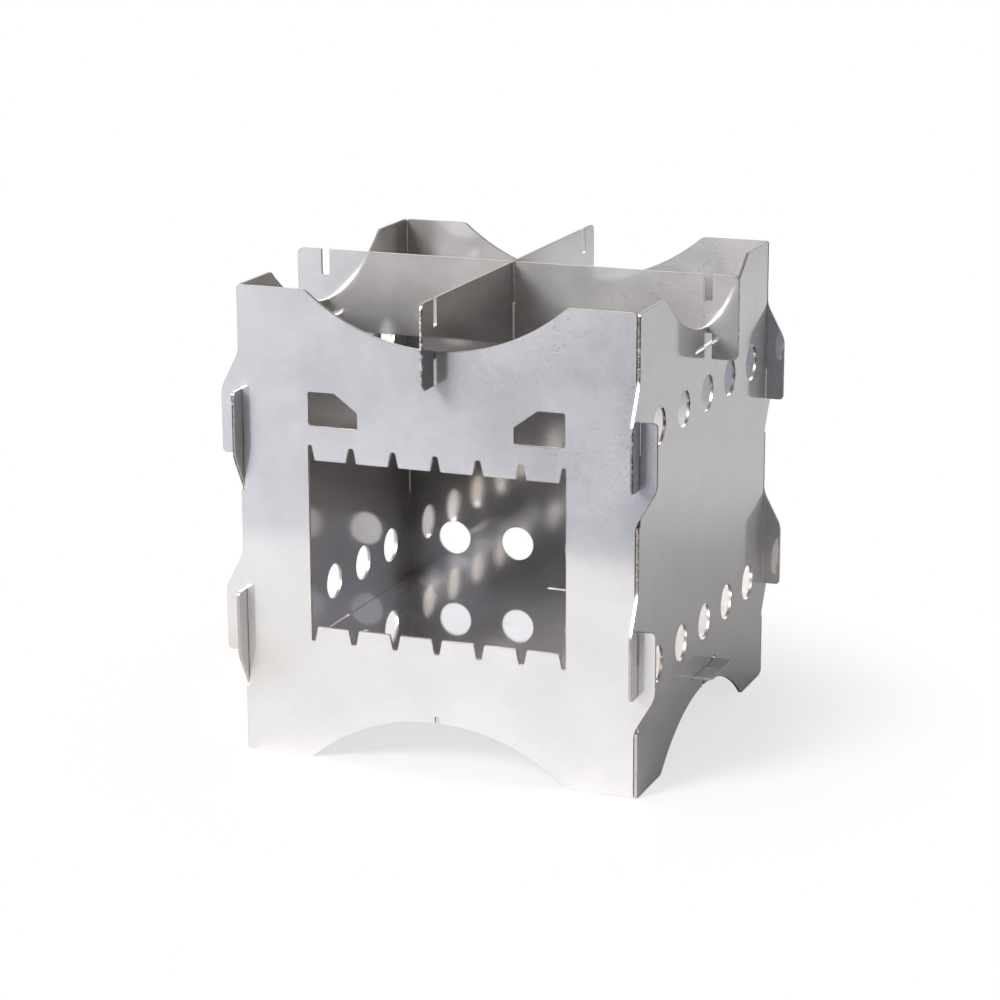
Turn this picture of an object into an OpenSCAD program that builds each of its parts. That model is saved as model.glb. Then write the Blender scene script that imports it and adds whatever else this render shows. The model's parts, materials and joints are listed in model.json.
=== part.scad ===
// Flat pack twig stove
// Four slotted steel panels hook into each other around a floor plate.
// Two crossed pot supports drop onto the top edges of the panels.
// Millimetres. The front faces -Y, the stove stands on Z = 0.

/* [Body] */
// Width over the outer faces of two opposite panels
body_w = 130; // [120:1:150]
// Height of the panels
body_h = 149; // [140:1:170]
// Thickness of the sheet steel of all pieces
sheet_t = 1; // [0.8:0.1:1.2]
// Radius of the four outer corners of a panel
panel_corner_r = 1; // [0.5:0.1:1.5]

/* [Curved edges] */
// Radius of the hollow in the top edge and of the arch in the bottom edge
arc_r = 64; // [55:0.5:75]
// Depth of the hollow and of the arch
arc_depth = 16; // [10:0.5:20]
// Rounding where the curve meets the straight edge
arc_round = 2.5; // [1:0.1:4]
// Depth of the small notch at the middle of each curve, it seats a pot support
seat_depth = 2.1; // [1:0.1:3]
// Clearance on each side of a pot support in its seat
seat_play = 0.3; // [0.1:0.05:0.5]

/* [Corner hooks] */
// How far the hooks with the slot open at the bottom stand out
hook_out = 6; // [4:0.1:8]
// How far the hooks with the slot open at the top stand out
catch_out = 5.4; // [4:0.1:8]
// Height of the straight part of a hook
hook_h = 20.4; // [16:0.1:24]
// Height of the slanted part of a hook
hook_slope_h = 11.4; // [9:0.1:14]
// Distance of the hooks from the middle of the panel, up and down
hook_z = 31.9; // [30:0.1:34]
// Rounding of the slanted part
hook_blend_r = 8; // [4:0.5:10]
// Rounding of the square corner of a hook
hook_corner_r = 1.3; // [0.5:0.1:2]
// Gap between the end of a panel and the inside of its neighbour
end_gap = 0.25; // [0.1:0.05:0.4]
// Clearance on the inner side of a sheet in a hook slot
hook_gap = 0.1; // [0.1:0.05:0.25]
// Clearance on the outer side of a sheet in a hook slot
hook_play = 0.25; // [0.1:0.05:0.4]

/* [Vent holes] */
// Diameter of the round vent holes
hole_d = 11.8; // [8:0.1:14]
// Distance between neighbouring holes
hole_pitch = 23.5; // [18:0.1:25]
// Distance of the two rows of holes from the middle of the panel
hole_row_z = 37.3; // [33:0.1:40]

/* [Floor] */
// Length of the slots for the floor
floor_slot_len = 25; // [22:0.5:34]
// Height of the slots for the floor
floor_slot_h = 1.4; // [1.3:0.05:2]
// Height of the metal between a floor slot and the notch below it
floor_web = 3.1; // [2:0.1:4]
// Length of a floor tab
floor_tab_len = 20; // [14:0.5:21]
// How far a floor tab stands out of the panel
floor_tab_out = 6; // [3:0.1:8]
// Rounding of the corners of a floor tab
floor_tab_r = 1.5; // [0.5:0.1:2]
// Gap between the floor and the inside of the panels
floor_gap = 0.1; // [0.1:0.05:0.6]

/* [Feed opening] */
// Width of the feed opening
mouth_w = 84; // [70:0.5:90]
// Height of the lower edge of the feed opening above the ground
mouth_bottom = 42.9; // [41:0.1:46]
// Height of the upper edge of the feed opening above the ground
mouth_top = 96; // [90:0.1:98]
// Depth of the notches in both edges
notch_h = 4.75; // [3:0.05:6]
// Half width of a notch where it starts
notch_base = 1.75; // [1.4:0.05:2.5]
// Half width of a notch near its tip
notch_tip = 0.75; // [0.6:0.05:0.9]
// Rounding where a notch starts
notch_base_r = 0.4; // [0.2:0.05:0.5]
// Rounding of the tip of a notch
notch_tip_r = 0.7; // [0.4:0.05:0.7]
// Inset of the outermost notches from the side of the opening
notch_inset = 0.4; // [0.3:0.05:0.6]

/* [Upper vents] */
// Distance of the outer side of an upper vent from the middle
vent_outer = 41.7; // [38:0.1:44]
// Distance of the inner side of an upper vent from the middle
vent_inner = 25.5; // [22:0.1:28]
// Distance of the upper inner corner from the middle
vent_top_inner = 33; // [31:0.1:36]
// Height of the lower edge of the upper vents above the ground
vent_bottom = 106.7; // [105:0.1:109]
// Height of the upper edge of the upper vents above the ground
vent_top = 117.4; // [114:0.1:119]
// Height of the inner side of an upper vent
vent_side_h = 5.2; // [4:0.1:6]
// Rounding of the corners of an upper vent
vent_r = 0.6; // [0.3:0.1:1]
// Rounding of its lower outer corner
vent_low_r = 1.2; // [0.6:0.1:2]

/* [Pot supports] */
// Overall length of a pot support
pot_len = 149.6; // [145:0.1:180]
// Height of a pot support
pot_h = 26.5; // [24:0.5:30]
// Rounding of the four corners of a pot support
pot_corner_r = 2; // [1:0.1:3]
// Width of the slots near both ends
pot_slot_w = 2.8; // [2.4:0.1:3.6]
// How far these slots reach inward of the inside of the panels
pot_slot_in = 0.5; // [0.5:0.05:0.8]
// Depth of the slots in the lower edge
pot_slot_low = 8.2; // [6:0.1:9]
// Depth of the slots in the upper edge
pot_slot_up = 8.5; // [6:0.1:9]
// Rounding in the end of these slots
pot_slot_r = 0.5; // [0.2:0.05:0.5]
// Width of the slots where the two pot supports cross
cross_slot_w = 2.5; // [1.6:0.1:3]
// Clearance in height where the two pot supports cross
cross_play = 0.5; // [0.2:0.05:1]

/* [Hidden] */
$fn = 96;
half_w = body_w / 2;
mid_z = body_h / 2;
// Edge of a panel at its catch end, short of the inside of its neighbour
catch_x = half_w - sheet_t - end_gap;
// Both sides of a hook slot, and the height over which it opens to the end of the panel
slot_in = half_w - sheet_t - hook_gap;
slot_out = half_w + hook_play;
slot_lead = 1;
hook_mids = [mid_z - hook_z, mid_z + hook_z];
// Centre of the big circle above the panel, and of the rounding beside it
arc_cz = body_h + arc_r - arc_depth;
round_cz = body_h - arc_round;
round_cx = sqrt(pow(arc_r + arc_round, 2) - pow(arc_cz - round_cz, 2));
seat_z = body_h - arc_depth - seat_depth;
seat_half = sheet_t / 2 + seat_play;
seat_flare = 0.4;
floor_z = arc_depth + seat_depth + floor_web;
// Distance of both floor slots from the middle of the panel
floor_slot_z = mid_z - floor_z - floor_slot_h / 2;
floor_half = half_w - sheet_t - floor_gap;
pot_z = seat_z - pot_slot_low;
pot_top = pot_z + pot_h;
pot_mid = pot_z + pot_h / 2;
pot_slot_x = half_w - sheet_t - pot_slot_in;
over = 1;

function unit(v) = v / norm(v);

// Half of the angle between the two sides of a corner
function half_angle(a, b, c) = acos(unit(a - b) * unit(c - b)) / 2;

// Distance from a corner to where its rounding starts
function setback(a, b, c, r) = r / tan(half_angle(a, b, c));

// Centre of the rounding of a corner
function round_centre(a, b, c, r) =
    b + unit(unit(a - b) + unit(c - b)) * r / sin(half_angle(a, b, c));

// Positive where a corner of an anticlockwise outline is convex
function turn(a, b, c) = cross(b - a, c - b);

// Outline with exact arcs. Each entry of pts is [x, y, radius], anticlockwise.
module rounded_outline(pts) {
    n = len(pts);
    p = [for (q = pts) [q[0], q[1]]];
    r = [for (q = pts) q[2]];
    cuts = [for (i = [0:n - 1])
        let (a = p[(i + n - 1) % n], b = p[i], c = p[(i + 1) % n])
        r[i] > 0
            ? [b + unit(a - b) * setback(a, b, c, r[i]), b + unit(c - b) * setback(a, b, c, r[i])]
            : [b]];
    difference() {
        union() {
            polygon([for (cut = cuts) for (q = cut) q]);
            for (i = [0:n - 1]) {
                a = p[(i + n - 1) % n];
                c = p[(i + 1) % n];
                if (r[i] > 0 && turn(a, p[i], c) > 0)
                    translate(round_centre(a, p[i], c, r[i]))
                        circle(r = r[i]);
            }
        }
        for (i = [0:n - 1]) {
            a = p[(i + n - 1) % n];
            c = p[(i + 1) % n];
            if (r[i] > 0 && turn(a, p[i], c) < 0)
                translate(round_centre(a, p[i], c, r[i]))
                    circle(r = r[i]);
        }
    }
}

// One catch at the right end of a panel: slot open at the top
function catch_points(z) = [
    [catch_x, z - hook_h / 2 - hook_slope_h, hook_blend_r],
    [half_w + catch_out, z - hook_h / 2, hook_blend_r],
    [half_w + catch_out, z + hook_h / 2, hook_corner_r],
    [slot_out, z + hook_h / 2, 0],
    [slot_out, z, 0],
    [slot_in, z, 0],
    [slot_in, z + hook_h / 2 - slot_lead, 0],
    [catch_x, z + hook_h / 2, 0]
];

// One hook at the left end of a panel: slot open at the bottom
function hook_points(z) = [
    [-half_w, z + hook_h / 2 + hook_slope_h, hook_blend_r],
    [-half_w - hook_out, z + hook_h / 2, hook_blend_r],
    [-half_w - hook_out, z - hook_h / 2, hook_corner_r],
    [-slot_out, z - hook_h / 2, 0],
    [-slot_out, z, 0],
    [-slot_in, z, 0],
    [-slot_in, z - hook_h / 2 - hook_slope_h - hook_play, 0],
    [-half_w, z - hook_h / 2 - hook_slope_h - hook_play, 0]
];

// Panel without curves and holes, seen from outside, x to the right
module panel_blank() {
    rounded_outline(concat(
        [[-half_w, 0, panel_corner_r], [catch_x, 0, panel_corner_r]],
        catch_points(hook_mids[0]),
        catch_points(hook_mids[1]),
        [[catch_x, body_h, panel_corner_r], [-half_w, body_h, panel_corner_r]],
        hook_points(hook_mids[1]),
        hook_points(hook_mids[0])
    ));
}

// Takes the corner off where the hollow meets the straight top edge
module arc_shoulder() {
    inward = unit([-round_cx, arc_cz - round_cz]) * (arc_round + over);
    difference() {
        polygon([
            [round_cx, round_cz],
            [round_cx + inward[0], round_cz + inward[1]],
            [round_cx + inward[0], body_h + over],
            [round_cx, body_h + over]
        ]);
        translate([round_cx, round_cz])
            circle(r = arc_round);
    }
}

// Hollow of the top edge with its seat for a pot support
module top_hollow() {
    translate([0, arc_cz])
        circle(r = arc_r, $fn = 360);
    arc_shoulder();
    mirror([1, 0])
        arc_shoulder();
    rounded_outline([
        [-seat_half, seat_z, seat_play],
        [seat_half, seat_z, seat_play],
        [seat_half, seat_z + seat_depth - seat_flare, seat_play],
        [seat_half + seat_flare, seat_z + seat_depth + seat_flare, 0],
        [-seat_half - seat_flare, seat_z + seat_depth + seat_flare, 0],
        [-seat_half, seat_z + seat_depth - seat_flare, seat_play]
    ]);
}

// Both curved edges, the lower one is the upper one turned over
module panel_curves() {
    top_hollow();
    translate([0, body_h])
        mirror([0, 1])
            top_hollow();
}

// Outline shared by all four panels
module panel_outline() {
    difference() {
        panel_blank();
        panel_curves();
    }
}

// Slot with round ends, centred on x = 0
module floor_slot() {
    end_x = (floor_slot_len - floor_slot_h) / 2;
    translate([-end_x, 0])
        circle(d = floor_slot_h);
    translate([end_x, 0])
        circle(d = floor_slot_h);
    translate([-end_x, -floor_slot_h / 2])
        square([2 * end_x, floor_slot_h]);
}

// Plain panel: two rows of vent holes and two slots for the floor
module vented_outline() {
    difference() {
        panel_outline();
        for (side = [-1, 1]) {
            for (i = [-2:2])
                translate([i * hole_pitch, mid_z + side * hole_row_z])
                    circle(d = hole_d);
            translate([0, mid_z + side * floor_slot_z])
                floor_slot();
        }
    }
}

// One edge of the feed opening with its seven notches, left to right
function notch_x(k) = (k - 3) * (mouth_w / 2 - notch_inset) / 3;

function mouth_edge(z, up) = concat(
    [
        [-mouth_w / 2, z + up * notch_h, notch_base_r],
        [notch_x(0) + notch_tip, z + up * notch_h, notch_base_r],
        [notch_x(0) + notch_base, z, notch_base_r]
    ],
    [for (k = [1:5]) each [
        [notch_x(k) - notch_base, z, notch_base_r],
        [notch_x(k) - notch_tip, z + up * notch_h, notch_tip_r],
        [notch_x(k) + notch_tip, z + up * notch_h, notch_tip_r],
        [notch_x(k) + notch_base, z, notch_base_r]
    ]],
    [
        [notch_x(6) - notch_base, z, notch_base_r],
        [notch_x(6) - notch_tip, z + up * notch_h, notch_base_r],
        [mouth_w / 2, z + up * notch_h, notch_base_r]
    ]
);

function reversed(v) = [for (i = [len(v) - 1:-1:0]) v[i]];

// Feed opening with notches along its upper and lower edge
module feed_opening() {
    rounded_outline(concat(
        mouth_edge(mouth_bottom, -1),
        reversed(mouth_edge(mouth_top, 1))
    ));
}

// Right one of the two upper vents
module upper_vent() {
    rounded_outline([
        [vent_inner, vent_bottom, vent_r],
        [vent_outer, vent_bottom, vent_low_r],
        [vent_outer, vent_top, vent_r],
        [vent_top_inner, vent_top, vent_r],
        [vent_inner, vent_bottom + vent_side_h, vent_r]
    ]);
}

// Front panel: feed opening and two upper vents, no holes and no slots
module front_outline() {
    difference() {
        panel_outline();
        feed_opening();
        upper_vent();
        mirror([1, 0])
            upper_vent();
    }
}

// Stands an outline up as a sheet at the front of the stove
module stand_up() {
    translate([0, -half_w + sheet_t, 0])
        rotate([90, 0, 0])
            linear_extrude(sheet_t)
                children();
}

// One tab of the floor, towards +x
module floor_tab() {
    tip = half_w + floor_tab_out;
    rounded_outline([
        [floor_half - over, -floor_tab_len / 2, 0],
        [tip, -floor_tab_len / 2, floor_tab_r],
        [tip, floor_tab_len / 2, floor_tab_r],
        [floor_half - over, floor_tab_len / 2, 0]
    ]);
}

// Pot support as a flat outline, without the slot where it crosses the other
module pot_outline() {
    difference() {
        rounded_outline([
            [-pot_len / 2, pot_z, pot_corner_r],
            [pot_len / 2, pot_z, pot_corner_r],
            [pot_len / 2, pot_top, pot_corner_r],
            [-pot_len / 2, pot_top, pot_corner_r]
        ]);
        pot_end_slots();
        mirror([1, 0])
            pot_end_slots();
    }
}

// Slots of the right end: the lower one straddles the panel
module pot_end_slots() {
    rounded_outline([
        [pot_slot_x, pot_z - over, 0],
        [pot_slot_x + pot_slot_w, pot_z - over, 0],
        [pot_slot_x + pot_slot_w, pot_z + pot_slot_low, pot_slot_r],
        [pot_slot_x, pot_z + pot_slot_low, pot_slot_r]
    ]);
    rounded_outline([
        [pot_slot_x, pot_top - pot_slot_up, pot_slot_r],
        [pot_slot_x + pot_slot_w, pot_top - pot_slot_up, pot_slot_r],
        [pot_slot_x + pot_slot_w, pot_top + over, 0],
        [pot_slot_x, pot_top + over, 0]
    ]);
}

// Extrudes an outline upright, centred on the plane y = 0
module stand_centred() {
    translate([0, sheet_t / 2, 0])
        rotate([90, 0, 0])
            linear_extrude(sheet_t)
                children();
}

module front_panel() {
    color("Silver")
        stand_up()
            front_outline();
}

module right_panel() {
    color("Silver")
        rotate([0, 0, 90])
            stand_up()
                vented_outline();
}

module back_panel() {
    color("Silver")
        rotate([0, 0, 180])
            stand_up()
                vented_outline();
}

module left_panel() {
    color("Silver")
        rotate([0, 0, 270])
            stand_up()
                vented_outline();
}

module floor_plate() {
    color("LightGray")
        translate([0, 0, floor_z])
            linear_extrude(sheet_t) {
                square(2 * floor_half, center = true);
                for (a = [0, 90, 180])
                    rotate(a)
                        floor_tab();
            }
}

// Runs left to right, its slot at the crossing is open at the top
module pot_support_lower() {
    color("DarkGray")
        stand_centred()
            difference() {
                pot_outline();
                translate([-cross_slot_w / 2, pot_mid - cross_play / 2])
                    square([cross_slot_w, pot_h]);
            }
}

// Runs front to back, its slot at the crossing is open at the bottom
module pot_support_upper() {
    color("DarkGray")
        rotate([0, 0, 90])
            stand_centred()
                difference() {
                    pot_outline();
                    translate([-cross_slot_w / 2, pot_mid + cross_play / 2 - pot_h])
                        square([cross_slot_w, pot_h]);
                }
}

front_panel();
right_panel();
back_panel();
left_panel();
floor_plate();
pot_support_lower();
pot_support_upper();
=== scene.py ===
import json
import math
from contextlib import contextmanager

import bpy
from mathutils import Matrix, Vector

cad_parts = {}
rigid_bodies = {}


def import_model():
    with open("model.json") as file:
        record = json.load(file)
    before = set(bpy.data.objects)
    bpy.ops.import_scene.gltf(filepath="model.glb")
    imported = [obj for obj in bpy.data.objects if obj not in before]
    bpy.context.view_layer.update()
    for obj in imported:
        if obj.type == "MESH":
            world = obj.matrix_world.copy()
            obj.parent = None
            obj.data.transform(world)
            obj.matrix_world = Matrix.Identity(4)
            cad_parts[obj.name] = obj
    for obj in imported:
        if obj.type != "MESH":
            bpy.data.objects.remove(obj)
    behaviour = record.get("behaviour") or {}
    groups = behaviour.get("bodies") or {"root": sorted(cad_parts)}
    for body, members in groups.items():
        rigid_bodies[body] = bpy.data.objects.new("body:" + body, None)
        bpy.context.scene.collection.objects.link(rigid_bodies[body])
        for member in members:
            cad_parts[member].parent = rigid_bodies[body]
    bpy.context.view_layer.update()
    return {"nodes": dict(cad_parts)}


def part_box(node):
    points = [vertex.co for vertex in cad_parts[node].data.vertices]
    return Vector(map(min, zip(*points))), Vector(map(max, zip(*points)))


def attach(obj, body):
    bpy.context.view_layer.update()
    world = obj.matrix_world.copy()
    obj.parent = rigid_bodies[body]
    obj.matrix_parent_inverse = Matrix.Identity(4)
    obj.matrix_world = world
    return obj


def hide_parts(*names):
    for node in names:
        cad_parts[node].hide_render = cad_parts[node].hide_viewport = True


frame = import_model()

# Twig stove: four slotted panels, a floor and two crossed pot supports, all cut from 1 mm stainless sheet.
# Metres. The front faces -Y and the stove stands on Z = 0.
#
# A constant whose name ends in RAMP holds where a ramp starts and ends, then the values there where they
# aren't 0 and 1. One that ends in NOISE holds a noise's scale per metre, its detail and its roughness.

MM = 0.001
WHITE = (1, 1, 1, 1)

PANEL_INSIDE = 0.0635  # from the stove's middle, half a millimetre inside of a panel's inner face
PANEL_MIDDLE = 0.0645  # between its inner and its outer face
PANEL_OUTSIDE = 0.0655  # half a millimetre outside of its outer face

# ---------- steels and sheets ----------

STEEL = (0.84, 0.822, 0.825, 1)

# A thin heat film colours the sides that face the fire. Some of the colours below are painted light and
# painted shade instead.
FILM = (0.855, 0.815, 0.788, 1)
LIT_FOOT = (0.97, 0.955, 0.965, 1)  # painted light low on the panels, lighter than the bare steel
# Painted light on the inside of the floor plate, lighter and bluer than the bare steel
LIT_FLOOR_PLATE = (0.92, 0.92, 0.955, 1)
FILM_LOWER_SUPPORT = (0.85, 0.835, 0.84, 1)
# Heat film and painted shade on the upper support, darker than the other insides
UPPER_SUPPORT_FILM_AND_SHADE = (0.55, 0.515, 0.495, 1)
CORNER_SHADE = (0.59, 0.56, 0.545, 1)  # painted shade in the darkest places

# Drag lines run between two colours on the wall of a cut. The wall keeps its scale in the slots for the
# floor, in the feed opening and where it stands upright. It is painted lighter where it points up, as a
# painted highlight, and also low on the stove and all along the supports but for their ends.
PANEL_SCALE = ((0.30, 0.27, 0.25, 1), (0.62, 0.58, 0.55, 1))
SUPPORT_SCALE = ((0.25, 0.24, 0.23, 1), (0.98, 0.97, 0.96, 1))
LIGHTER_WALL = ((0.78, 0.765, 0.75, 1), (0.96, 0.955, 0.95, 1))
LIGHTER_WALL_ACROSS_X = (0.56, 0.52, 0.48, 1)  # the painted lighter wall, dimmer on the sheets across X
LIGHTER_WALL_ACROSS_X_SHARE = 0.8
BURR = (0.04, 0.035, 0.035, 1)  # broken dark line on the outer rim of a cut
HEAT_TINT = (0.62, 0.40, 0.24, 1)
HEAT_TINT_SHARE = 0.7

WHOLE_LENGTH = 0.08  # beyond the supports' ends
NO_LIMIT = 1.0  # behind all of the stove

# By name. The sheet's thickness runs along axis. The film, with the painted light and shade in its colours,
# lies on the metal that is closer to the stove's middle than reach, and ends at the height film_top and, on
# its way back, at the depth rear.
STEELS = {
    "stainless sheet across X": dict(axis=0, specks=0.5, film_top=0.18),
    "stainless sheet across Y": dict(axis=1, specks=1.0, film_top=0.14),
    "stainless sheet across Z": dict(
        axis=2, specks=0.4, film_top=0.14, polish=0.05, haze=0.10, film=LIT_FLOOR_PLATE,
    ),
    "support sheet across Y": dict(
        axis=1, specks=0.8, film_top=0.14, film=FILM_LOWER_SUPPORT, scale=SUPPORT_SCALE,
    ),
    "support sheet across X": dict(
        axis=0, specks=0.5, film_top=0.18, haze=0.4, film=UPPER_SUPPORT_FILM_AND_SHADE,
        reach=WHOLE_LENGTH, rear=0.04, scale=SUPPORT_SCALE,
    ),
}

# Each sheet: CAD node, finished piece, body, slot, steel
SHEETS = [
    ("front_panel", "front_sheet", "stove_body", "panel_steel", "stainless sheet across Y"),
    ("right_panel", "right_sheet", "stove_body", "panel_steel", "stainless sheet across X"),
    ("back_panel", "back_sheet", "stove_body", "panel_steel", "stainless sheet across Y"),
    ("left_panel", "left_sheet", "stove_body", "panel_steel", "stainless sheet across X"),
    ("floor_plate", "floor_sheet", "stove_body", "floor_steel", "stainless sheet across Z"),
    ("pot_support_lower", "lower_support_sheet", "lower_support", "support_steel", "support sheet across Y"),
    ("pot_support_upper", "upper_support_sheet", "upper_support", "support_steel", "support sheet across X"),
]

# ---------- camera ----------

AZIMUTH = math.radians(21.5399)
ELEVATION = math.radians(14.8849)
ROLL = math.radians(-0.2224)
AIM = Vector((-3.658, -2.477, 71.383)) * MM
DISTANCE = 956.82 * MM
LENS = 106.834  # millimetres, as is the sensor
SENSOR_WIDTH = 36
CLIP_START = 0.05
CLIP_END = 50


def add_camera():
    """Stands where the photograph was taken from."""
    back = Vector((
        math.sin(AZIMUTH) * math.cos(ELEVATION),
        -math.cos(AZIMUTH) * math.cos(ELEVATION),
        math.sin(ELEVATION),
    ))
    data = bpy.data.cameras.new("camera")
    data.lens = LENS
    data.sensor_width = SENSOR_WIDTH
    data.clip_start = CLIP_START
    data.clip_end = CLIP_END
    cam = bpy.data.objects.new("camera", data)
    bpy.context.scene.collection.objects.link(cam)
    cam.location = AIM + back * DISTANCE
    turn = (-back).to_track_quat("-Z", "Y").to_matrix()
    cam.rotation_mode = "QUATERNION"
    cam.rotation_quaternion = (turn @ Matrix.Rotation(ROLL, 3, "Z")).to_quaternion()
    bpy.context.scene.camera = cam


# ---------- node helpers ----------

VALUE = "NodeSocketFloat"
VECTOR = "NodeSocketVector"
COLOUR = "NodeSocketColor"


class Nodes:
    """Adds nodes to a tree and wires them."""

    def __init__(self, tree):
        self.tree = tree

    def add(self, kind, values=None, **settings):
        """A new node. values are sockets or constants, by the name or number of the input that they go to."""
        node = self.tree.nodes.new(kind)
        for key, value in settings.items():
            setattr(node, key, value)
        for key, value in (values or {}).items():
            if isinstance(value, bpy.types.NodeSocket):
                self.tree.links.new(value, node.inputs[key])
            else:
                node.inputs[key].default_value = value
        return node

    def math(self, operation, a, b=0.0):
        return self.add("ShaderNodeMath", {0: a, 1: b}, operation=operation).outputs[0]

    def product(self, first, *others):
        for other in others:
            first = self.math("MULTIPLY", first, other)
        return first

    def ramp(self, value, low, high, to_low=0.0, to_high=1.0, kind="SMOOTHSTEP"):
        values = {0: value, 1: low, 2: high, 3: to_low, 4: to_high}
        return self.add("ShaderNodeMapRange", values, interpolation_type=kind).outputs[0]

    def noise(self, place, scale, detail, roughness):
        values = {"Vector": place, "Scale": scale, "Detail": detail, "Roughness": roughness}
        return self.add("ShaderNodeTexNoise", values).outputs[0]

    def attribute(self, name):
        return self.add("ShaderNodeAttribute", attribute_name=name).outputs["Fac"]

    def split(self, vector):
        return self.add("ShaderNodeSeparateXYZ", {0: vector}).outputs

    def vector_math(self, operation, vector, other, key=1):
        return self.add("ShaderNodeVectorMath", {0: vector, key: other}, operation=operation).outputs

    def stretch(self, vector, factors):
        return self.vector_math("MULTIPLY", vector, factors)["Vector"]

    def dim(self, colour, factor):
        return self.vector_math("SCALE", colour, factor, "Scale")["Vector"]

    def distance(self, place, point):
        return self.vector_math("DISTANCE", place, point)["Value"]

    def mix(self, share, a, b):
        """Colour a, and b where share is 1. This node keeps its colours on inputs 6 and 7 and output 2."""
        return self.add("ShaderNodeMix", {0: share, 6: a, 7: b}, data_type="RGBA").outputs[2]

    def mix_values(self, share, a, b):
        """Value a, and b where share is 1. This node keeps its values on inputs 2 and 3 and output 0."""
        return self.add("ShaderNodeMix", {0: share, 2: a, 3: b}).outputs[0]

    def mix_shaders(self, share, a, b):
        return self.add("ShaderNodeMixShader", {0: share, 1: a, 2: b}).outputs[0]


def clear_nodes(owner):
    """The nodes of a material or world, with none in it yet."""
    owner.use_nodes = True
    owner.node_tree.nodes.clear()
    return Nodes(owner.node_tree)


def new_group(name, inputs, outputs):
    """A shader node group, its nodes and what it is given. inputs and outputs are socket kinds by name."""
    group = bpy.data.node_groups.new(name, "ShaderNodeTree")
    for way, sockets in (("INPUT", inputs), ("OUTPUT", outputs)):
        for label, kind in sockets.items():
            group.interface.new_socket(label, in_out=way, socket_type=kind)
    n = Nodes(group)
    return group, n, n.add("NodeGroupInput").outputs


# ---------- mill finish ----------

CLOUD_NOISE = (42.0, 4.0, 0.6)  # faint clouds in tone and haze
CLOUD_SHADE_RAMP = (0.3, 0.7, 0.965, 1.015)
CLOUD_HAZE_RAMP = (0.3, 0.7, 0.88, 1.12)
WEAR_NOISE = (45.0, 2.0, 0.5)  # where the specks and the marks are densest
WEAR_RAMP = (0.42, 0.60)
WEAR_HEIGHT_RAMP = (0.06, 0.10)  # the foot is clean
WEAR_SIDE_RAMP = (-0.03, 0.04, 0.25, 1.0)  # the right half is worn most
MARK_NOISE = (1000.0, 2.0, 0.6)  # short rolling marks
MARK_SHADE_RAMP = (0.3, 0.7, -0.05, 0.025)
MARK_WEAR_RAMP = (0.0, 1.0, 0.25, 1.0)
MARK_HEIGHT = 0.0012
PIT_SCALE = 1250.0
PIT_RAMP = (0.10, 0.31, 1.0, 0.0)  # of the distance from a pit's middle
PIT_MARK_RAMP = (0.45, 0.53)
SPECK_DARKENS = 0.6
SPECK_ROUGHENS = 0.2
GRAIN_NOISE = (12000.0, 0.0, 0.5)  # fine matt grain
GRAIN_LIMIT = 0.7  # the grain above it is matt
GRAIN_LIMIT_HAZE = 0.4  # by which full haze lowers that limit
WAVE_NOISE = (9.0, 1.0, 0.5)  # the sheet isn't quite flat


def mill_finish_group():
    """Mill finish of cold-rolled sheet.

    A bright skin with a fine matt grain in it, faint clouds, short rolling marks and dark specks.
    """
    group, n, given = new_group(
        "mill finish",
        {
            "Position": VECTOR,
            "Rolling": VECTOR,
            "Colour": COLOUR,
            "Polish": VALUE,
            "Haze": VALUE,
            "Matt": VALUE,
            "Specks": VALUE,
        },
        {"Colour": COLOUR, "Roughness": VALUE, "Height": VALUE},
    )
    place = given["Position"]
    side, _, height = n.split(place)
    rolled = n.stretch(place, given["Rolling"])
    clouds = n.noise(place, *CLOUD_NOISE)
    marks = n.noise(rolled, *MARK_NOISE)
    grain = n.noise(place, *GRAIN_NOISE)
    where = n.product(n.ramp(height, *WEAR_HEIGHT_RAMP), n.ramp(side, *WEAR_SIDE_RAMP))
    worn = n.product(n.ramp(n.noise(place, *WEAR_NOISE), *WEAR_RAMP), where)

    pits = n.add("ShaderNodeTexVoronoi", {"Vector": rolled, "Scale": PIT_SCALE}, feature="F1")
    speck = n.product(n.ramp(pits.outputs["Distance"], *PIT_RAMP), n.ramp(marks, *PIT_MARK_RAMP))
    speck = n.product(speck, worn, given["Specks"])

    uneven = n.product(n.ramp(marks, *MARK_SHADE_RAMP), n.ramp(worn, *MARK_WEAR_RAMP))
    shade = n.math("ADD", n.ramp(clouds, *CLOUD_SHADE_RAMP), uneven)
    shade = n.math("SUBTRACT", shade, n.product(speck, SPECK_DARKENS))

    haze = n.product(given["Haze"], n.ramp(clouds, *CLOUD_HAZE_RAMP))
    limit = n.math("SUBTRACT", GRAIN_LIMIT, n.product(haze, GRAIN_LIMIT_HAZE))
    matt = n.math("GREATER_THAN", grain, limit)
    rough = n.math("ADD", given["Polish"], n.product(matt, given["Matt"]))

    n.add("NodeGroupOutput", {
        "Colour": n.dim(given["Colour"], shade),
        "Roughness": n.math("ADD", rough, n.product(speck, SPECK_ROUGHENS)),
        "Height": n.math("ADD", n.noise(place, *WAVE_NOISE), n.product(marks, MARK_HEIGHT)),
    })
    return group


# ---------- heat film, painted light and painted shade ---

FILM_END_RAMP = (-0.03, 0.0, 1.0, 0.0)  # fades out before its top and its rear
FOOT_RAMP = (0.03, 0.065, 1.0, 0.0)  # painted light at the foot, by height
# The painted shade in the rear left corner, by Y - X. Low down it is wide, and by height it becomes narrow.
CORNER_WIDE_RAMP = (0.107, 0.126)
CORNER_NARROW_RAMP = (0.1145, 0.121)
CORNER_HEIGHT_RAMP = (0.09, 0.13)
# Painted shade also lies on the left panel's catches, on the back panel's lower hook and on a belt of the
# left panel
CATCH_FROM = -0.06  # the left panel's catches are left of this
CATCH_SHARE = 0.7
HOOK_RAMP = (0.07, 0.09, 0.75, 0.0)  # by height
BELT_START_RAMP = (0.074, 0.082)  # by height, as is its end
BELT_END_RAMP = (0.115, 0.125, 0.75, 0.0)


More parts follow.
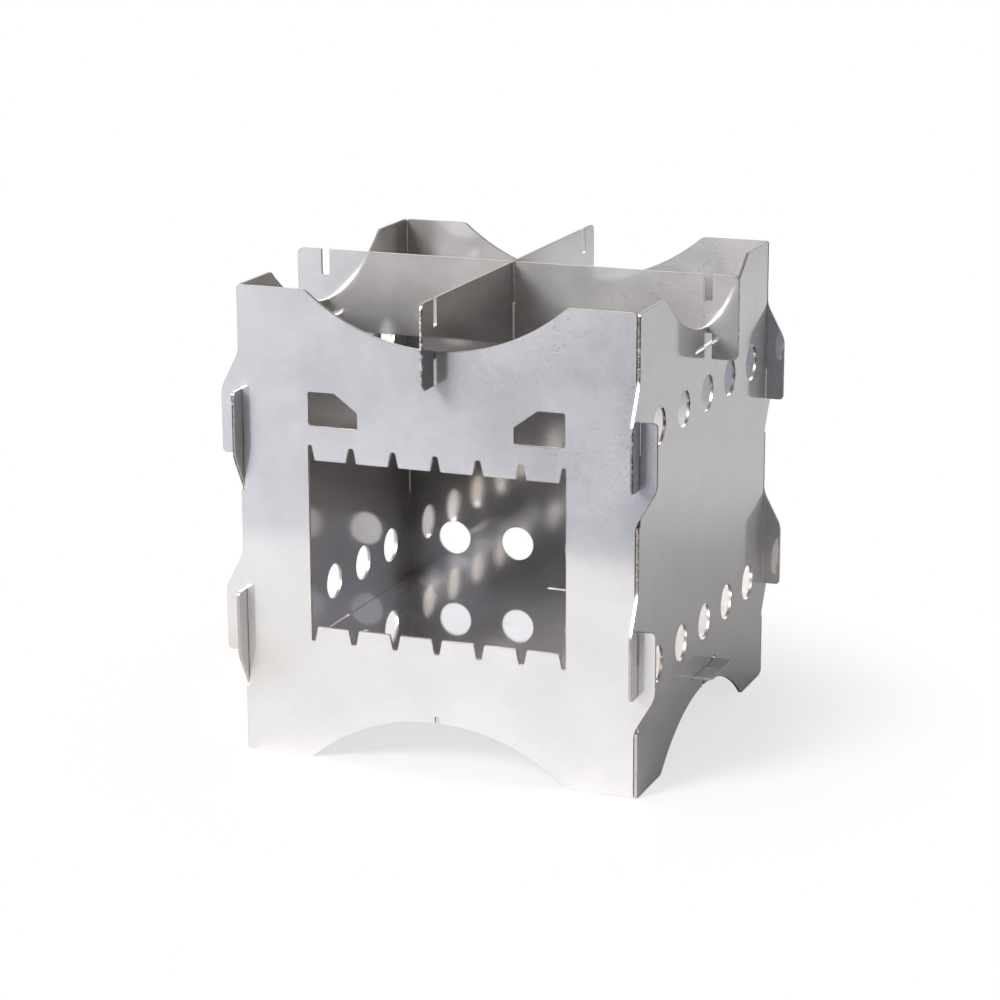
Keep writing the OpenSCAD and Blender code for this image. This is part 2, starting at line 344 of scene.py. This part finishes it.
def fire_chamber_group():
    """Where the heat film and the painted light and shade inside lie, as three masks.

    Mask is the metal that faces the fire, out to a reach from the middle, up to a top and back to a rear. Low
    is the foot of it, which is painted lighter. Corner is painted shade in the darkest places: the rear left
    corner, a belt on the left panel behind the left vent, the inner faces of the left panel's catches, and
    what stands out at the right in the rear half low down, which is the back panel's lower hook and half of
    the floor's tab.
    """
    group, n, given = new_group(
        "fire chamber",
        {"Position": VECTOR, "Reach": VALUE, "Top": VALUE, "Rear": VALUE},
        {"Mask": VALUE, "Corner": VALUE, "Low": VALUE},
    )
    x, y, z = n.split(given["Position"])
    out = n.math("MAXIMUM", n.math("ABSOLUTE", x), n.math("ABSOLUTE", y))
    inside = n.math("LESS_THAN", out, given["Reach"])
    ahead = n.ramp(n.math("SUBTRACT", y, given["Rear"]), *FILM_END_RAMP)
    below = n.ramp(n.math("SUBTRACT", z, given["Top"]), *FILM_END_RAMP)
    mask = n.product(inside, ahead, below)

    rear_left = n.math("SUBTRACT", y, x)
    high = n.ramp(z, *CORNER_HEIGHT_RAMP)
    wide = n.product(n.ramp(rear_left, *CORNER_WIDE_RAMP), n.math("SUBTRACT", 1.0, high))
    narrow = n.product(n.ramp(rear_left, *CORNER_NARROW_RAMP), high)
    corner = n.product(inside, n.math("ADD", wide, narrow))

    catch = n.product(
        n.math("GREATER_THAN", x, -PANEL_MIDDLE),
        n.math("LESS_THAN", x, CATCH_FROM),
        n.math("LESS_THAN", y, -PANEL_OUTSIDE),
        CATCH_SHARE,
    )
    hook = n.product(
        n.math("GREATER_THAN", x, PANEL_OUTSIDE),
        n.math("GREATER_THAN", y, 0.0),
        n.math("LESS_THAN", y, PANEL_MIDDLE),
        n.ramp(z, *HOOK_RAMP),
    )
    belt = n.product(
        n.ramp(z, *BELT_START_RAMP),
        n.ramp(z, *BELT_END_RAMP),
        n.math("LESS_THAN", x, -PANEL_INSIDE),
    )
    corner = n.math("MAXIMUM", corner, n.math("MAXIMUM", catch, hook))
    corner = n.math("MAXIMUM", corner, n.product(inside, belt))

    n.add("NodeGroupOutput", {"Mask": mask, "Corner": corner, "Low": n.product(mask, n.ramp(z, *FOOT_RAMP))})
    return group


# ---------- cut edges ----------

# What the mesh attribute "edge" says on a cut's wall, on the flat face's rim, and on the flat face
ON_WALL = 1.0
ON_RIM = 0.8
ON_FLAT = 0.0
WALL_RAMP = (0.86, 0.94)
TINT_RAMP = (ON_FLAT, ON_RIM)
TINT_NOISE = (160.0, 2.0, 0.5)
TINT_NOISE_RAMP = (0.35, 0.65, 0.35, 1.0)
LINE_NOISE = (2600.0, 2.0, 0.7)
LINE_RAMP = (0.38, 0.62)
BURR_RAMP = (0.52, 0.66)
BURR_NOISE = (1500.0, 2.0, 0.6)
BURR_NOISE_RAMP = (0.40, 0.50)
BURR_HEIGHT_RAMP = (0.03, 0.10, 0.25, 1.0)  # less of it low down


def cut_edge_group():
    """Masks of a cut.

    They are its wall, how far the wall is painted lighter (a painted highlight where it points up), the heat
    tint beside it, its drag lines and its burr.
    """
    group, n, given = new_group(
        "cut edge",
        {"Position": VECTOR, "Lines": VECTOR},
        {"Wall": VALUE, "Upward": VALUE, "Tint": VALUE, "Lines": VALUE, "Burr": VALUE},
    )
    place = given["Position"]
    mark = n.attribute("edge")
    wander = n.ramp(n.noise(place, *TINT_NOISE), *TINT_NOISE_RAMP)
    fine = n.noise(n.stretch(place, given["Lines"]), *LINE_NOISE)
    broken = n.ramp(n.noise(place, *BURR_NOISE), *BURR_NOISE_RAMP)
    broken = n.product(broken, n.ramp(n.split(place)["Z"], *BURR_HEIGHT_RAMP))
    n.add("NodeGroupOutput", {
        "Wall": n.ramp(mark, *WALL_RAMP),
        "Upward": n.attribute("upward"),
        "Tint": n.product(n.ramp(mark, *TINT_RAMP), wander),
        "Lines": n.ramp(fine, *LINE_RAMP),
        "Burr": n.product(n.ramp(n.attribute("outer"), *BURR_RAMP), broken),
    })
    return group


# ---------- sheet steel ----------

ROLLED = 0.42  # squeezes the noise along the rolling, which makes the marks longer than wide
DRAGGED = 0.05  # squeezes it across the sheet, which makes the drag lines
MATT_UPRIGHT = 0.4  # roughness that the matt grain adds
MATT_FLOOR = 0.5
FILM_HAZE = 0.12  # haze where the film lies
WALL_ROUGHNESS_RAMP = (0.0, 1.0, 0.36, 0.45)
RIDGE_HEIGHT = 0.02
BUMP_UPRIGHT = 0.25
BUMP_FLOOR = 0.08
BUMP_DISTANCE = 0.001


def sheet_steel(
    name, groups, axis, specks, film_top,
    polish=0.10, haze=0.5, film=FILM, reach=PANEL_MIDDLE, rear=NO_LIMIT, scale=PANEL_SCALE,
):
    """Bright stainless sheet whose thickness runs along axis. film is the colour of its inside: heat film on
    the panels and the lower support, painted light on the floor plate, and heat film with painted shade on
    the upper support.
    """
    is_floor = axis == 2
    material = bpy.data.materials.new(name)
    n = clear_nodes(material)
    place = n.add("ShaderNodeTexCoord").outputs["Object"]

    where = {"Position": place, "Reach": reach, "Top": film_top, "Rear": rear}
    chamber = n.add("ShaderNodeGroup", where, node_tree=groups["chamber"]).outputs
    skin = n.mix(chamber["Mask"], STEEL, film)
    # Painted light at the foot of the inside
    skin = n.mix(chamber["Low"], skin, LIT_FLOOR_PLATE if is_floor else LIT_FOOT)
    # Painted shade in the darkest places
    skin = n.mix(chamber["Corner"], skin, CORNER_SHADE)

    rolling = [1.0, 1.0, 1.0]
    rolling[1 if axis == 0 else 0] = ROLLED
    finish = n.add("ShaderNodeGroup", {
        "Position": place,
        "Rolling": rolling,
        "Colour": skin,
        "Polish": polish,
        "Haze": n.ramp(chamber["Mask"], 0.0, 1.0, haze, FILM_HAZE, kind="LINEAR"),
        "Matt": MATT_FLOOR if is_floor else MATT_UPRIGHT,
        "Specks": specks,
    }, node_tree=groups["finish"]).outputs

    drag = [1.0, 1.0, 1.0]
    drag[axis] = DRAGGED
    cut = n.add("ShaderNodeGroup", {"Position": place, "Lines": drag}, node_tree=groups["cut"]).outputs
    upright = n.mix(cut["Burr"], n.mix(cut["Lines"], *scale), BURR)
    # Painted highlight: the cut's wall is lighter where it points up, low on the stove and along the supports
    bright = n.mix(cut["Lines"], *LIGHTER_WALL)
    if axis == 0:
        bright = n.mix(LIGHTER_WALL_ACROSS_X_SHARE, bright, LIGHTER_WALL_ACROSS_X)
    wall = n.mix(cut["Upward"], upright, bright)
    wall_rough = n.ramp(cut["Lines"], *WALL_ROUGHNESS_RAMP)
    ridges = n.product(cut["Lines"], cut["Wall"], RIDGE_HEIGHT)

    tinted = n.mix(n.product(cut["Tint"], HEAT_TINT_SHARE), finish["Colour"], HEAT_TINT)
    bump = n.add("ShaderNodeBump", {
        "Height": n.math("ADD", finish["Height"], ridges),
        "Strength": BUMP_FLOOR if is_floor else BUMP_UPRIGHT,
        "Distance": BUMP_DISTANCE,
    })
    shader = n.add("ShaderNodeBsdfPrincipled", {
        "Base Color": n.mix(cut["Wall"], tinted, wall),
        "Roughness": n.mix_values(cut["Wall"], finish["Roughness"], wall_rough),
        "Metallic": 1.0,
        "Normal": bump.outputs["Normal"],
    })
    n.add("ShaderNodeOutputMaterial", {"Surface": shader.outputs["BSDF"]})
    return material


# ---------- sheets ----------

EDGE_BREAK = 0.07 * MM  # the cutter's sharp edge, taken off on both sides of a sheet
TINT_BAND = 0.2 * MM  # metal beside a cut that the cutting heat has coloured
SMOOTH_ANGLE = math.radians(28)
WELD_DISTANCE = 1e-6
FLAT_FACE = 0.999  # what a flat face's normal has at least along the thickness
CUT_FACE = 0.5  # what a cut's has at most

# Places on the sheets. HALF is from the middle, to both sides. LOW, HIGH and TOP are heights.
FLOOR_SLOT_HALF = 12.8 * MM
FLOOR_SLOT_LOW = 20.9 * MM
FLOOR_SLOT_HIGH = 22.9 * MM
MOUTH_HALF = 42.6 * MM
MOUTH_LOW = 35 * MM
MOUTH_HIGH = 119 * MM
SUPPORT_LIGHTER_HALF = 73 * MM
SUPPORT_BURR_FROM = 72 * MM
PANEL_END_FROM = 63.4 * MM
PANEL_END_TO = 64.3 * MM

# The cut walls are painted lighter low on the stove, and as a painted highlight where they point up
LIGHTER_LOW_SHARE = 0.8
LIGHTER_LOW_TOP = 75 * MM
LIGHTER_LOW_FADE = 40 * MM
HIGHLIGHT_NORMAL_FROM = 0.1
HIGHLIGHT_NORMAL_SPAN = 0.35


def only(piece):
    """Makes piece the one selected and active object."""
    for o in bpy.context.view_layer.objects:
        o.select_set(False)
    piece.hide_set(False)
    piece.select_set(True)
    bpy.context.view_layer.objects.active = piece


@contextmanager
def edit_mode():
    """The active object is in edit mode within a with block."""
    bpy.ops.object.mode_set(mode="EDIT")
    yield
    bpy.ops.object.mode_set(mode="OBJECT")


def zero_to_one(value):
    """value, but no less than 0 and no more than 1."""
    return min(max(value, 0.0), 1.0)


def lighter_wall_share(node_name, axis, place, normal):
    """Share by which a cut face is painted lighter, from 0 where it keeps its scale. Where the face points
    up, it is a painted highlight.
    """
    x, y, z = place
    across = abs(y if axis == 0 else x)
    if axis < 2 and across < FLOOR_SLOT_HALF and FLOOR_SLOT_LOW < z < FLOOR_SLOT_HIGH:
        return 0.0
    if node_name == "front_panel" and across < MOUTH_HALF and MOUTH_LOW < z < MOUTH_HIGH:
        return 0.0
    if node_name.startswith("pot_support") and across < SUPPORT_LIGHTER_HALF:
        return 1.0
    low = LIGHTER_LOW_SHARE * zero_to_one((LIGHTER_LOW_TOP - z) / LIGHTER_LOW_FADE)
    return max(low, zero_to_one((normal[2] - HIGHLIGHT_NORMAL_FROM) / HIGHLIGHT_NORMAL_SPAN))


def welded_copy(node_name, piece_name):
    """A piece with a copy of the CAD node's mesh, its faces joined. It is the active object."""
    mesh = frame["nodes"][node_name].data.copy()
    mesh.name = piece_name
    mesh.materials.clear()
    piece = bpy.data.objects.new(piece_name, mesh)
    bpy.context.scene.collection.objects.link(piece)
    only(piece)
    if mesh.has_custom_normals:
        bpy.ops.mesh.customdata_custom_splitnormals_clear()
    with edit_mode():
        bpy.ops.mesh.select_all(action="SELECT")
        bpy.ops.mesh.remove_doubles(threshold=WELD_DISTANCE)
    return piece


def inset_flats(mesh, axis):
    """Insets the flat faces by the broken edge and the heat band.

    Returns the vertices of what is left of the flat faces, and those of the cuts' walls.
    """
    with edit_mode():
        bpy.ops.mesh.select_mode(type="FACE")
        bpy.ops.mesh.select_all(action="DESELECT")
    for face in mesh.polygons:
        face.select = abs(face.normal[axis]) > FLAT_FACE
    with edit_mode():
        for width in (EDGE_BREAK, TINT_BAND):
            bpy.ops.mesh.inset(thickness=width, depth=0, use_boundary=True, use_even_offset=True)
    flats, walls = set(), set()
    for face in mesh.polygons:
        if face.select:
            flats.update(face.vertices)
        elif abs(face.normal[axis]) < CUT_FACE:
            walls.update(face.vertices)
    return flats, walls


def break_edges(mesh, axis, middle, slot, flats, walls):
    """Breaks the sharp edges of the cuts, and marks them for the steel in "edge" and "outer"."""
    faces_out = -1 if middle < -MM else 1  # the front and the left panel face the other way
    for name in ("edge", "outer"):
        mesh.attributes.new(name, "FLOAT", "POINT")
    edge = mesh.attributes["edge"].data
    outer = mesh.attributes["outer"].data
    for v in mesh.vertices:
        if v.index in walls:
            along = 0.0 if axis == 2 else abs(v.co[1 - axis])
            is_end = slot == "panel_steel" and PANEL_END_FROM < along < PANEL_END_TO
            is_outer = (v.co[axis] - middle) * faces_out > 0
            burred = is_outer and (slot != "support_steel" or along > SUPPORT_BURR_FROM)
            edge[v.index].value = ON_WALL
            outer[v.index].value = 1.0 if is_end or burred else 0.0
            v.co[axis] += EDGE_BREAK if v.co[axis] < middle else -EDGE_BREAK
        else:
            edge[v.index].value = ON_FLAT if v.index in flats else ON_RIM
    mesh.update()


def cut_sheet(node_name, piece_name, body, slot, axis):
    """A sheet as cut. Its flat faces keep the CAD outline. Its cuts have broken edges and a heat band."""
    low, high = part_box(node_name)
    piece = welded_copy(node_name, piece_name)
    mesh = piece.data
    flats, walls = inset_flats(mesh, axis)
    break_edges(mesh, axis, (low[axis] + high[axis]) / 2, slot, flats, walls)
    upward = mesh.attributes.new("upward", "FLOAT", "FACE").data
    for face in mesh.polygons:
        upward[face.index].value = lighter_wall_share(node_name, axis, face.center, face.normal)
    bpy.ops.object.shade_smooth_by_angle(angle=SMOOTH_ANGLE)
    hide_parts(node_name)
    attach(piece, body)
    return piece


# ---------- stage ----------

FLOOR_SIZE = 24

# What the camera sees of the floor: white, with the stove's shadow close to it
STOVE_MIDDLE = (0.0, 0.0, 0.0)
SEEN_FLOOR = (0.93, 0.93, 0.93, 1)
SEEN_WHITE_RAMP = (0.07, 0.16, 0.7, 1.0)  # share of pure white, by the distance from the stove

# What the steel mirrors, X from left to right and Y from front to back: painted light and shade on the floor,
# seen only in reflections. A painted pool of light lies under the stove as a pale sheet, with painted shade
# right under the stove.
LIT_POOL_MIDDLE = (-0.075, 0.005, 0.0)
LIT_POOL_EDGE_RAMP = (0.298, 0.338)
LIT_POOL_FRONT = (0.87, 0.87, 0.875, 1)
SHADE_UNDER_STOVE = (0.70, 0.69, 0.695, 1)
LIT_POOL_BACK = (1.0, 0.99, 0.995, 1)
LIT_POOL_FRONT_RAMP = (-0.10, -0.01)
LIT_POOL_BACK_RAMP = (0.04, 0.14)

# The ground round the pool, with painted light: lit at the left, in painted shade at the right, and dimmer in
# front and far back
GROUND_LEFT = (0.51, 0.53, 0.61, 1)
GROUND_RIGHT = (0.17, 0.195, 0.265, 1)
GROUND_BACK = (0.98, 0.975, 0.98, 1)
GROUND_FAR_BACK = (0.84, 0.84, 0.845, 1)
GROUND_SIDE_RAMP = (-0.30, -0.03)
GROUND_NEAR_RAMP = (-0.58, -0.43, 0.55, 1.0)  # painted falloff of light, dimmer in front
GROUND_DEPTH_RAMP = (-0.25, 0.24)
GROUND_FAR_RAMP = (0.28, 0.42)

# Painted reflections: small round painted spots on the floor, each seen only in one reflection: middle, share
# by the distance from it, colour
PAINTED_REFLECTION_SPOTS = [
    # in the photograph's view, seen only in the inside of the back panel, through the upper holes
    ((-0.105, -0.372, 0.0), (0.012, 0.04, 0.4, 0.0), (0.85, 0.80, 0.76, 1)),
    # in the photograph's view, seen only through the left panel's lower holes
    ((-0.126, -0.140, 0.0), (0.024, 0.046, 1.0, 0.0), (0.72, 0.655, 0.58, 1)),
]

# Painted shade on the floor, seen only in reflections: a wide patch at the front right, and a round spot that
# is smaller by the scale below
FRONT_RIGHT_SHADE = (0.25, -0.42, 0.0)
SHADE_SPOT = (0.175, -0.115, 0.0)
SHADE_SPOT_SCALE = 3.0
FLOOR_SHADE = (0.10, 0.10, 0.10, 1)
FLOOR_SHADE_RAMP = (0.20, 0.285, 0.85, 0.0)


def mirrored_floor(n, place):
    """Colour of the floor as the steel mirrors it: painted light and shade, seen only in reflections."""
    side, depth = n.split(place)[:2]
    front = n.mix(n.ramp(side, *GROUND_SIDE_RAMP), GROUND_LEFT, GROUND_RIGHT)
    front = n.dim(front, n.ramp(depth, *GROUND_NEAR_RAMP))
    back = n.mix(n.ramp(depth, *GROUND_FAR_RAMP), GROUND_BACK, GROUND_FAR_BACK)
    ground = n.mix(n.ramp(depth, *GROUND_DEPTH_RAMP), front, back)
    # The painted pool of light, with painted shade under the stove
    sheet = n.mix(n.ramp(depth, *LIT_POOL_BACK_RAMP), SHADE_UNDER_STOVE, LIT_POOL_BACK)
    sheet = n.mix(n.ramp(depth, *LIT_POOL_FRONT_RAMP), LIT_POOL_FRONT, sheet)
    floor = n.mix(n.ramp(n.distance(place, LIT_POOL_MIDDLE), *LIT_POOL_EDGE_RAMP), sheet, ground)
    for middle, ramp, colour in PAINTED_REFLECTION_SPOTS:
        floor = n.mix(n.ramp(n.distance(place, middle), *ramp), floor, colour)
    # Painted shade, by the distance from the two middles
    shade_spot = n.product(n.distance(place, SHADE_SPOT), SHADE_SPOT_SCALE)
    dark = n.math("MINIMUM", n.distance(place, FRONT_RIGHT_SHADE), shade_spot)
    return n.mix(n.ramp(dark, *FLOOR_SHADE_RAMP), floor, FLOOR_SHADE)


def add_floor():
    """Plain floor. The camera sees it white with the stove's shadow, and the steel mirrors its painted light
    and shade.
    """
    bpy.ops.mesh.primitive_plane_add(size=FLOOR_SIZE, location=(0, 0, 0))
    floor = bpy.context.active_object
    floor.name = "studio_floor"
    material = bpy.data.materials.new("studio floor")
    n = clear_nodes(material)
    by_camera = n.add("ShaderNodeLightPath").outputs["Is Camera Ray"]
    place = n.add("ShaderNodeTexCoord").outputs["Object"]
    seen = n.mix(by_camera, mirrored_floor(n, place), SEEN_FLOOR)
    plain = n.add("ShaderNodeBsdfDiffuse", {"Color": seen}).outputs[0]
    white = n.add("ShaderNodeEmission", {"Color": WHITE, "Strength": 1.0}).outputs[0]
    share = n.product(by_camera, n.ramp(n.distance(place, STOVE_MIDDLE), *SEEN_WHITE_RAMP))
    n.add("ShaderNodeOutputMaterial", {"Surface": n.mix_shaders(share, plain, white)})
    floor.data.materials.append(material)


# What lights the stove from all round, and what the steel mirrors of it
SKY_LIGHT = 0.33  # strength of the even light
SKY_RIGHT = (0.13, 0.135, 0.15, 1)
SKY_RIGHT_LOW = (0.27, 0.275, 0.30, 1)
SKY_WARM = (0.80, 0.73, 0.64, 1)
SKY_TOP = (0.10, 0.10, 0.105, 1)

# Ramps of the direction's X (side), Y (deep) and Z (up)
RIGHT_SIDE_RAMP = (-0.4, 0.1)
RIGHT_LOW_UP_RAMP = (0.33, 0.45, 1.0, 0.0)
RIGHT_LOW_DEEP_RAMP = (-0.1, 0.1)
WARM_DEEP_RAMP = (-0.84, -0.76, 1.0, 0.0)
WARM_UP_RAMP = (0.36, 0.44, 1.0, 0.0)
WARM_START_RAMP = (-0.52, -0.44)
WARM_END_RAMP = (-0.28, -0.20, 1.0, 0.0)
TOP_UP_RAMP = (0.75, 0.9)


def mirrored_sky(n, direction):
    """Colour of the studio as the steel mirrors it: white at the left, grey at the right, dark overhead."""
    side, deep, up = n.split(direction)
    low = n.product(n.ramp(up, *RIGHT_LOW_UP_RAMP), n.ramp(deep, *RIGHT_LOW_DEEP_RAMP))
    studio = n.mix(n.ramp(side, *RIGHT_SIDE_RAMP), WHITE, n.mix(low, SKY_RIGHT, SKY_RIGHT_LOW))
    warm = n.product(
        n.ramp(deep, *WARM_DEEP_RAMP),
        n.ramp(up, *WARM_UP_RAMP),
        n.ramp(side, *WARM_START_RAMP),
        n.ramp(side, *WARM_END_RAMP),
    )
    return n.mix(n.ramp(up, *TOP_UP_RAMP), n.mix(warm, studio, SKY_WARM), SKY_TOP)


def add_world():
    """Even light from all round, on white. Metal mirrors a studio in it."""
    world = bpy.data.worlds.new("studio")
    bpy.context.scene.world = world
    n = clear_nodes(world)
    rays = n.add("ShaderNodeLightPath").outputs
    mirrored = n.math("MAXIMUM", rays["Is Glossy Ray"], rays["Is Transmission Ray"])
    studio = mirrored_sky(n, n.add("ShaderNodeTexCoord").outputs["Generated"])
    light, around, white = (
        n.add("ShaderNodeBackground", {"Color": colour, "Strength": strength}).outputs[0]
        for colour, strength in ((WHITE, SKY_LIGHT), (studio, 1.0), (WHITE, 1.0))
    )
    both = n.mix_shaders(mirrored, light, around)
    n.add("ShaderNodeOutputWorld", {"Surface": n.mix_shaders(rays["Is Camera Ray"], both, white)})


# Name, place, aim, width, power in watts and spread in degrees
LAMPS = [
    ("key lamp", (-1.2, -2.1, 1.6), (0, 0, 0.05), 1.2, 93.0, 180),
    ("back lamp", (0.22, 1.05, 0.9), (0.14, 0.75, 0.0), 0.3, 0.12, 30),
]


def add_lamp(name, place, aim, width, power, spread):
    """Round lamp that shines from place towards aim."""
    data = bpy.data.lights.new(name, "AREA")
    data.shape = "DISK"
    data.size = width
    data.energy = power
    data.spread = math.radians(spread)
    lamp = bpy.data.objects.new(name, data)
    bpy.context.scene.collection.objects.link(lamp)
    lamp.location = place
    lamp.rotation_mode = "QUATERNION"
    lamp.rotation_quaternion = (Vector(aim) - Vector(place)).to_track_quat("-Z", "Y")


add_camera()
add_floor()
add_world()
for lamp in LAMPS:
    add_lamp(*lamp)

groups = {"finish": mill_finish_group(), "cut": cut_edge_group(), "chamber": fire_chamber_group()}
steels = {name: sheet_steel(name, groups, **traits) for name, traits in STEELS.items()}
for node_name, piece_name, body, slot, steel in SHEETS:
    piece = cut_sheet(node_name, piece_name, body, slot, STEELS[steel]["axis"])
    piece.data.materials.append(steels[steel])

bpy.context.scene.view_settings.view_transform = "Standard"
